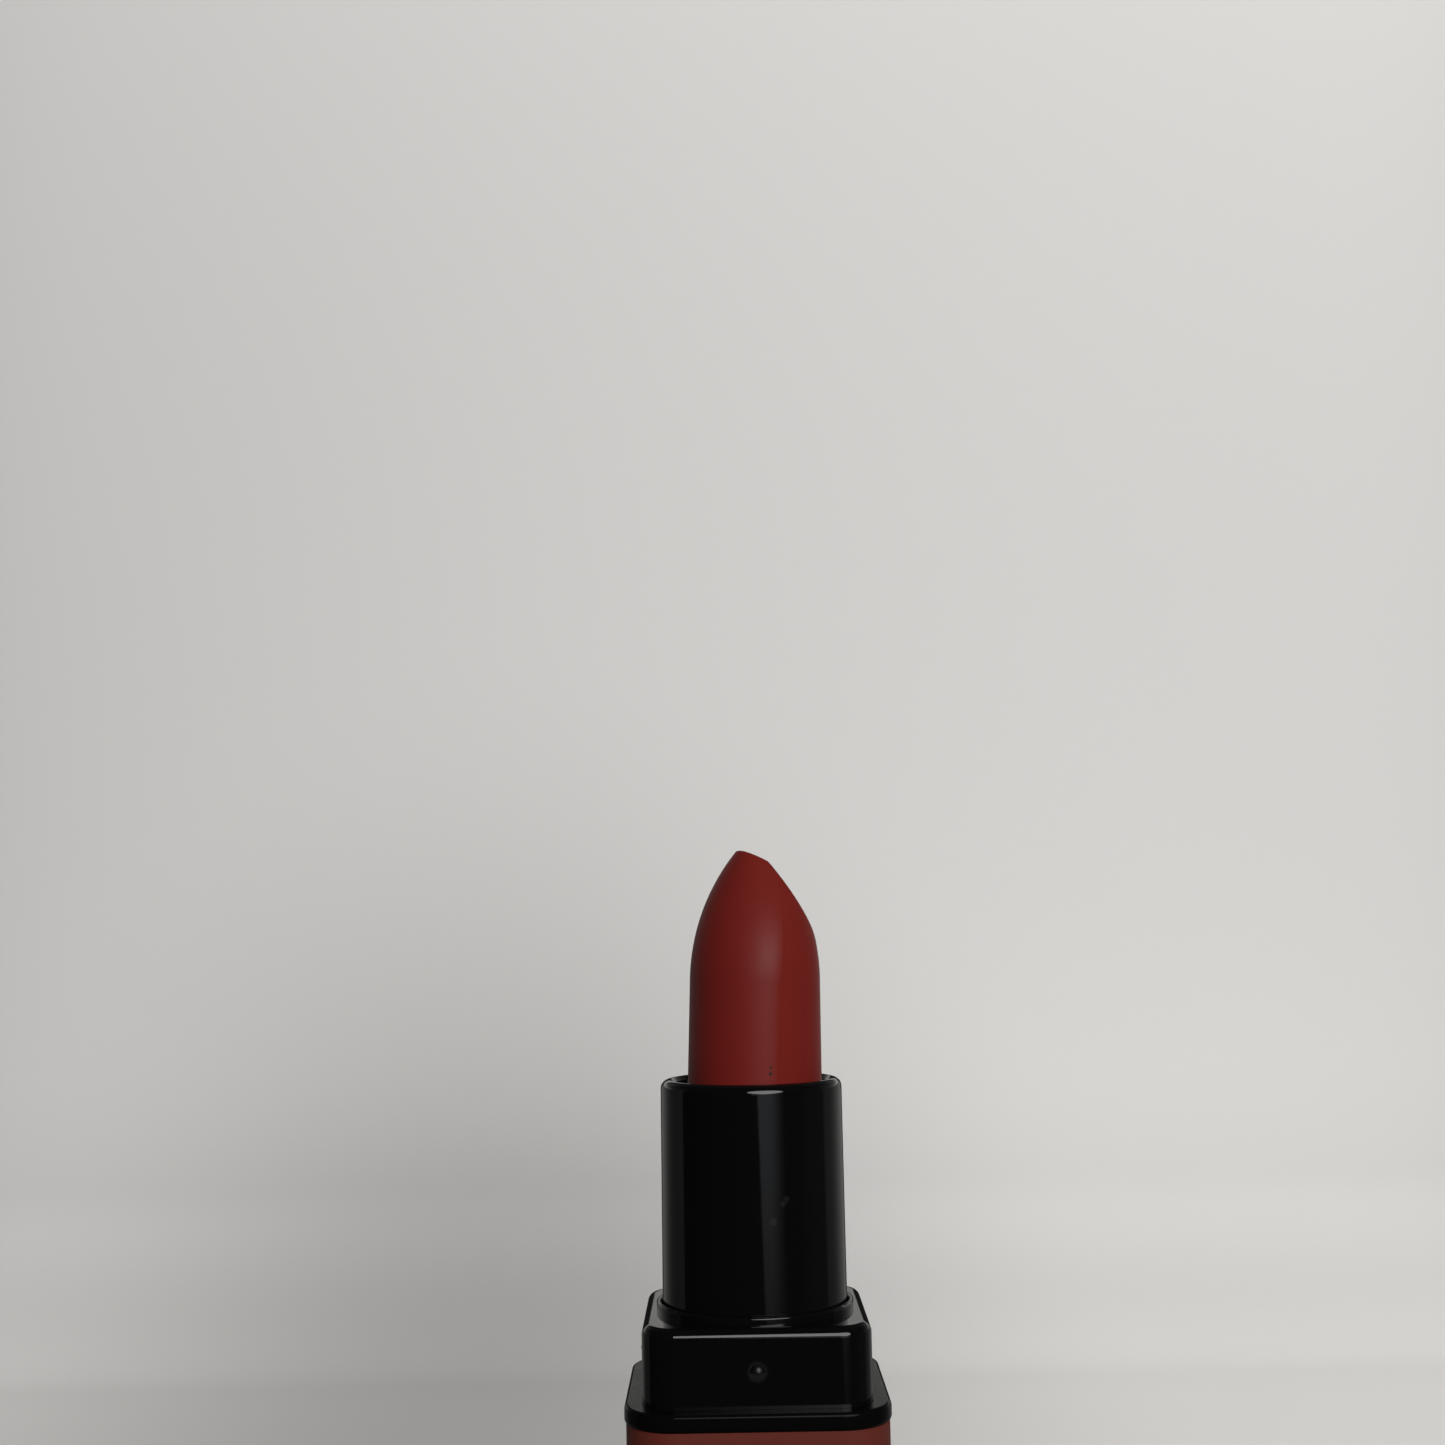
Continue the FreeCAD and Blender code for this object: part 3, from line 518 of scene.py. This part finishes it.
def wall_material():
    """Pale paint with painted shading: darker far to the sides, to the left, higher up, on the floor
    and at the foot of the sweep, and with a painted shadow of the part at the lower left.
    """
    n = principled("pale_wall")
    tone = n.mix(n.noise(5), (0.715, 0.706, 0.697), (0.735, 0.73, 0.722))
    x, y, z = n.axes("Object")
    # Height on the wall, carried on down along the floor
    height = n.math("SUBTRACT", z, n.product(n.math("SUBTRACT", WALL, y), FLOOR_SLOPE))
    # Painted shadow of the part: the paint is darker the nearer it is to this place at the lower left
    dx = n.math("DIVIDE", n.math("SUBTRACT", x, PAINTED_SHADOW_X), PAINTED_SHADOW_WIDE)
    dz = n.math("DIVIDE", n.math("SUBTRACT", height, PAINTED_SHADOW_HEIGHT), PAINTED_SHADOW_TALL)
    from_painted_shadow = n.math("SQRT", n.total(n.product(dx, dx), n.product(dz, dz)))
    from_dip = n.math("ABSOLUTE", n.math("SUBTRACT", height, DIP_HEIGHT))
    # Each share here is painted shading or painted shadow laid onto the paint's tone
    share = n.product(
        n.ease(n.math("ABSOLUTE", x), *SIDE_FADE),
        n.ease(x, *LEFT_TO_RIGHT),
        n.ease(height, *UPWARDS),
        n.ease(height, *FLOOR_TO_WALL),
        n.ease(from_dip, *DIP),
        n.ease(from_painted_shadow, *PAINTED_SHADOW),
    )
    shaded = n.add("ShaderNodeVectorMath", operation="SCALE")
    n.feed(shaded, 0, tone)
    n.feed(shaded, "Scale", share)
    n.set(Base_Color=Signal(shaded, "Vector"), Roughness=0.95, Specular_IOR_Level=0.05)
    return n.owner


def make_backdrop():
    """Pale floor that widens as it sweeps up into a wall behind. The gloss doesn't mirror it."""
    profile = [(FLOOR_FRONT, 0.0)]
    for i in range(SWEEP_STEPS + 1):
        angle = math.pi / 2 * i / SWEEP_STEPS
        profile.append((WALL - SWEEP * (1 - math.sin(angle)), SWEEP * (1 - math.cos(angle))))
    profile.append((WALL, WALL_TOP))
    bm = bmesh.new()
    edges = []
    for side in (-1, 1):
        edge = []
        for y, z in profile:
            half = FLOOR_HALF + (WALL_HALF - FLOOR_HALF) * smooth(z / SWEEP)
            edge.append(bm.verts.new((side * half, y, z - FLOOR_DROP)))
        edges.append(edge)
    left, right = edges
    for i in range(1, len(profile)):
        bm.faces.new((left[i - 1], right[i - 1], right[i], left[i]))
    obj = new_object("backdrop", smooth_mesh("backdrop", bm))
    obj.data.materials.append(wall_material())
    obj.visible_glossy = False
    return obj


# Light, in metres, degrees and watts

CENTRE = (0, 0, 0.06)  # what the key faces
KEY = {"size": (0.7, 0.6), "power": 7.4, "colour": (1.0, 0.985, 0.965)}
KEY_RIGHT, KEY_UP, KEY_AWAY = 18, 26, 0.9
WASH = {"size": (0.9, 0.28), "power": 4.5, "colour": (1.0, 0.985, 0.97)}
WASH_PLACE, WASH_TARGET = (0.2, -0.05, 0.8), (0, WALL, 0.15)
ROOM_FLOOR = 0.015  # what the darkest part of the room still gives


def area_light(name, place, target, size, power, colour):
    """An oval light at a place, facing a target."""
    data = bpy.data.lights.new(name, "AREA")
    data.shape = "ELLIPSE"
    data.size, data.size_y = size
    data.energy = power
    data.color = colour
    obj = new_object(name, data)
    obj.location = place
    obj.rotation_euler = (Vector(target) - Vector(place)).to_track_quat("-Z", "Y").to_euler()
    return obj


def place_round(right, up, away):
    """A place round the part: degrees to the right of straight in front, degrees up, metres off."""
    right, up = math.radians(right), math.radians(up)
    direction = Vector((math.sin(right) * math.cos(up), -math.cos(right) * math.cos(up), math.sin(up)))
    return Vector(CENTRE) + direction * away


# The room's parts take its directions: turn, the degrees to the right of straight behind the part,
# and up, the degrees above level


def pale_sides(n, turn, up):
    """The room's pale sides, brightest to the left and right of the backdrop."""
    lights = n.total(
        n.ease(turn, -60, -32, 0.10, 0.25),
        n.ease(turn, -80, -66, 0.05, 0.0),
        n.ease(turn, -10, 10, 0.0, 0.05),
    )
    return n.product(
        n.math("SUBTRACT", lights, n.ease(turn, 38, 66, 0.0, 0.15)),
        n.ease(turn, -84, -81.5, 0.0, 1.0),
        n.ease(turn, 75, 80, 1.0, 0.25),
        n.ease(turn, 100, 125, 1.0, 0.0),
        n.ease(up, -16, -5, 0.7, 1.0),
        n.ease(up, 10, 40, 1.0, 0.1),
        n.ease(n.math("ABSOLUTE", turn), 14, 24, 0.0, 1.0),
    )


def strip_behind(n, turn, up):
    """A strip above the horizon, the one bright thing straight behind the part."""
    return n.product(
        n.ease(up, 8, 9.5, 0.0, 0.5),
        n.ease(up, 13, 19, 1.0, 0.0),
        n.ease(n.math("ABSOLUTE", turn), 30, 70, 1.0, 0.0),
    )


def front_window(n, turn, up):
    """A window at the front right, brightest at eye level, with a firm left edge that leans."""
    edge = n.total(turn, n.product(up, -0.8))
    return n.product(
        n.ease(turn, 137.5, 161.5, 0.0, 1.0),
        n.ease(edge, 175.4, 177.8, 1.0, 0.0),
        n.ease(up, -16, -2, 0.0, 0.88),
        n.ease(up, 6, 20, 1.0, 0.0),
    )


def room_light():
    """The room that the gloss mirrors."""
    world = bpy.data.worlds.new("room")
    n = Nodes(world, "ShaderNodeOutputWorld", "ShaderNodeBackground")
    x, y, z = n.axes("Generated")
    degree = 180 / math.pi
    turn = n.product(n.math("ARCTAN2", x, y), degree)
    up = n.product(n.math("ARCSINE", z), degree)
    window = front_window(n, turn, up)
    n.set(
        Color=n.mix(window, (1.0, 0.985, 0.96), (0.82, 0.9, 1.0)),
        Strength=n.total(pale_sides(n, turn, up), strip_behind(n, turn, up), window, ROOM_FLOOR),
    )
    scene.world = world


def make_lights(backdrop):
    """A soft key at the front right, the room, and a wash that lights the backdrop alone."""
    area_light("key", place_round(KEY_RIGHT, KEY_UP, KEY_AWAY), CENTRE, **KEY)
    wash = area_light("wall_wash", WASH_PLACE, WASH_TARGET, **WASH)
    wall_only = bpy.data.collections.new("wall_only")
    wall_only.objects.link(backdrop)
    wash.light_linking.receiver_collection = wall_only
    room_light()


# Camera, in mm and degrees

CAMERA_PLACE = Vector((-2.0, -174.1, 78.52))
CAMERA_UP, CAMERA_ROLL = 5.9, -1.0
CAMERA_LENS, CAMERA_SENSOR = 47.28, 36.0


def make_camera():
    """The camera in front of the part, level with its bullet and tilted a little up."""
    data = bpy.data.cameras.new("camera")
    data.sensor_width = CAMERA_SENSOR
    data.lens = CAMERA_LENS
    data.clip_start, data.clip_end = 0.005, 20
    camera = new_object("camera", data)
    tilt = Matrix.Rotation(math.radians(90 + CAMERA_UP), 4, "X")
    roll = Matrix.Rotation(math.radians(CAMERA_ROLL), 4, "Z")
    camera.matrix_world = Matrix.Translation(CAMERA_PLACE * MM) @ tilt @ roll
    scene.camera = camera


scene.view_settings.view_transform = "Standard"
dress_nodes()
make_bullet()
make_lights(make_backdrop())
make_camera()
